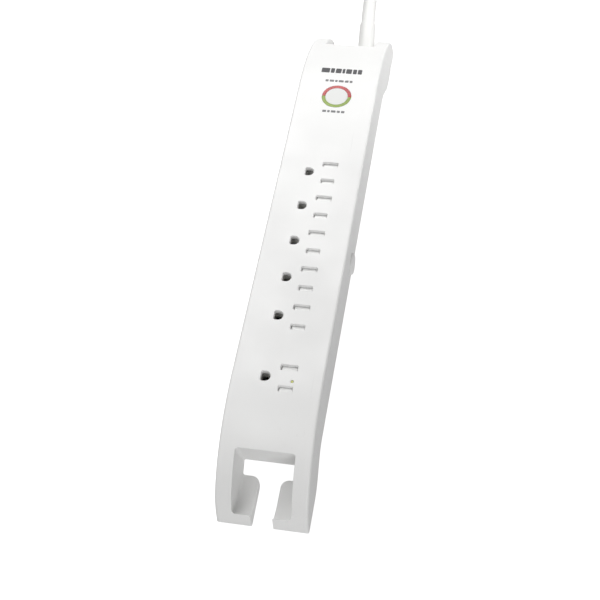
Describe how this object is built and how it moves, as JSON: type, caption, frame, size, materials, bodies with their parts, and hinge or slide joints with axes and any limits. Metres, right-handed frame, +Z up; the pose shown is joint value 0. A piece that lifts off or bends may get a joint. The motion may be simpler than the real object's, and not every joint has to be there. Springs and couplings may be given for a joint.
{
  "type": "power strip",
  "caption": "White surge-protected power strip with a raised body, cord-wrap slot at one end, round status ring, side reset button and a tied mains cord.",
  "frame": {"origin": "on the standing surface, under the middle of the housing", "axes": "+Z up through the outlet face, +Y along the strip to the end where the cord leaves, +X to the side with the reset button"},
  "size_m": [0.0636, 0.6715, 0.046],
  "materials": {
    "shell": "satin white ABS",
    "shutter": "smooth white acetal",
    "tray": "matte",
    "lens_red": "translucent red lens",
    "lens_green": "translucent yellow-green lens",
    "lamp": "clear lamp window",
    "rubber": "soft grey",
    "cord_jacket": "soft white PVC",
    "black_plastic": "matte",
    "board": "solder mask",
    "varistor": "epoxy coated",
    "capacitor": "moulded case",
    "steel": "zinc plated",
    "nickel": "nickel plated",
    "brass": "stamped strip",
    "wire_black": "insulated",
    "wire_white": "insulated",
    "wire_green": "insulated"
  },
  "bodies": {
    "strip": {"bottom_cover": "shell", "breaker_body": "black_plastic", "breaker_wire": "wire_black", "circuit_board": "board", "cord_hank": "cord_jacket", "cord_lead": "cord_jacket", "cord_tail": "cord_jacket", "cover_screw_1": "steel", "cover_screw_2": "steel", "cover_screw_3": "steel", "cover_screw_4": "steel", "cover_screw_5": "steel", "cover_screw_6": "steel", "filter_capacitor": "capacitor", "foot_pad_cord_left": "rubber", "foot_pad_cord_right": "rubber", "foot_pad_notch_left": "rubber", "foot_pad_notch_right": "rubber", "ground_bus_bar": "brass", "ground_wire": "wire_green", "grounded_led": "lens_green", "hank_tie": "black_plastic", "hot_bus_bar": "brass", "hot_wire": "wire_black", "neutral_bus_bar": "brass", "neutral_wire": "wire_white", "outlet_lamp": "lamp", "plug_body": "cord_jacket", "plug_ground_pin": "nickel", "plug_line_blade": "nickel", "plug_neutral_blade": "nickel", "protected_led": "lens_red", "reset_spring": "steel", "ring_centre_disc": "shell", "ring_lens_green": "lens_green", "ring_lens_red": "lens_red", "shutter_spring_1": "steel", "shutter_spring_2": "steel", "shutter_spring_3": "steel", "shutter_spring_4": "steel", "shutter_spring_5": "steel", "shutter_spring_6": "steel", "shutter_tray": "tray", "strain_relief": "cord_jacket", "surge_varistor_1": "varistor", "surge_varistor_2": "varistor", "surge_varistor_3": "varistor", "thermal_fuse": "nickel", "upper_housing": "shell"},
    "shutter_1_body": {"shutter_1": "shutter"},
    "shutter_2_body": {"shutter_2": "shutter"},
    "shutter_3_body": {"shutter_3": "shutter"},
    "shutter_4_body": {"shutter_4": "shutter"},
    "shutter_5_body": {"shutter_5": "shutter"},
    "shutter_6_body": {"shutter_6": "shutter"},
    "button": {"reset_button": "shell"}
  },
  "joints": [
    {"name": "shutter_1_slide", "type": "slide", "parent": "strip", "child": "shutter_1_body", "axis": [0, 1, 0], "range_m": [0, 0.0036], "stiffness_N_per_m": 60, "deforming": ["shutter_spring_1"]},
    {"name": "shutter_2_slide", "type": "slide", "parent": "strip", "child": "shutter_2_body", "axis": [0, 1, 0], "range_m": [0, 0.0036], "stiffness_N_per_m": 60, "deforming": ["shutter_spring_2"]},
    {"name": "shutter_3_slide", "type": "slide", "parent": "strip", "child": "shutter_3_body", "axis": [0, 1, 0], "range_m": [0, 0.0036], "stiffness_N_per_m": 60, "deforming": ["shutter_spring_3"]},
    {"name": "shutter_4_slide", "type": "slide", "parent": "strip", "child": "shutter_4_body", "axis": [0, 1, 0], "range_m": [0, 0.0036], "stiffness_N_per_m": 60, "deforming": ["shutter_spring_4"]},
    {"name": "shutter_5_slide", "type": "slide", "parent": "strip", "child": "shutter_5_body", "axis": [0, 1, 0], "range_m": [0, 0.0036], "stiffness_N_per_m": 60, "deforming": ["shutter_spring_5"]},
    {"name": "shutter_6_slide", "type": "slide", "parent": "strip", "child": "shutter_6_body", "axis": [0, 1, 0], "range_m": [0, 0.0036], "stiffness_N_per_m": 60, "deforming": ["shutter_spring_6"]},
    {"name": "reset_press", "type": "slide", "parent": "strip", "child": "button", "axis": [-1, 0, 0], "range_m": [-0.002, 0.0016], "stiffness_N_per_m": 400, "deforming": ["reset_spring"]}
  ]
}
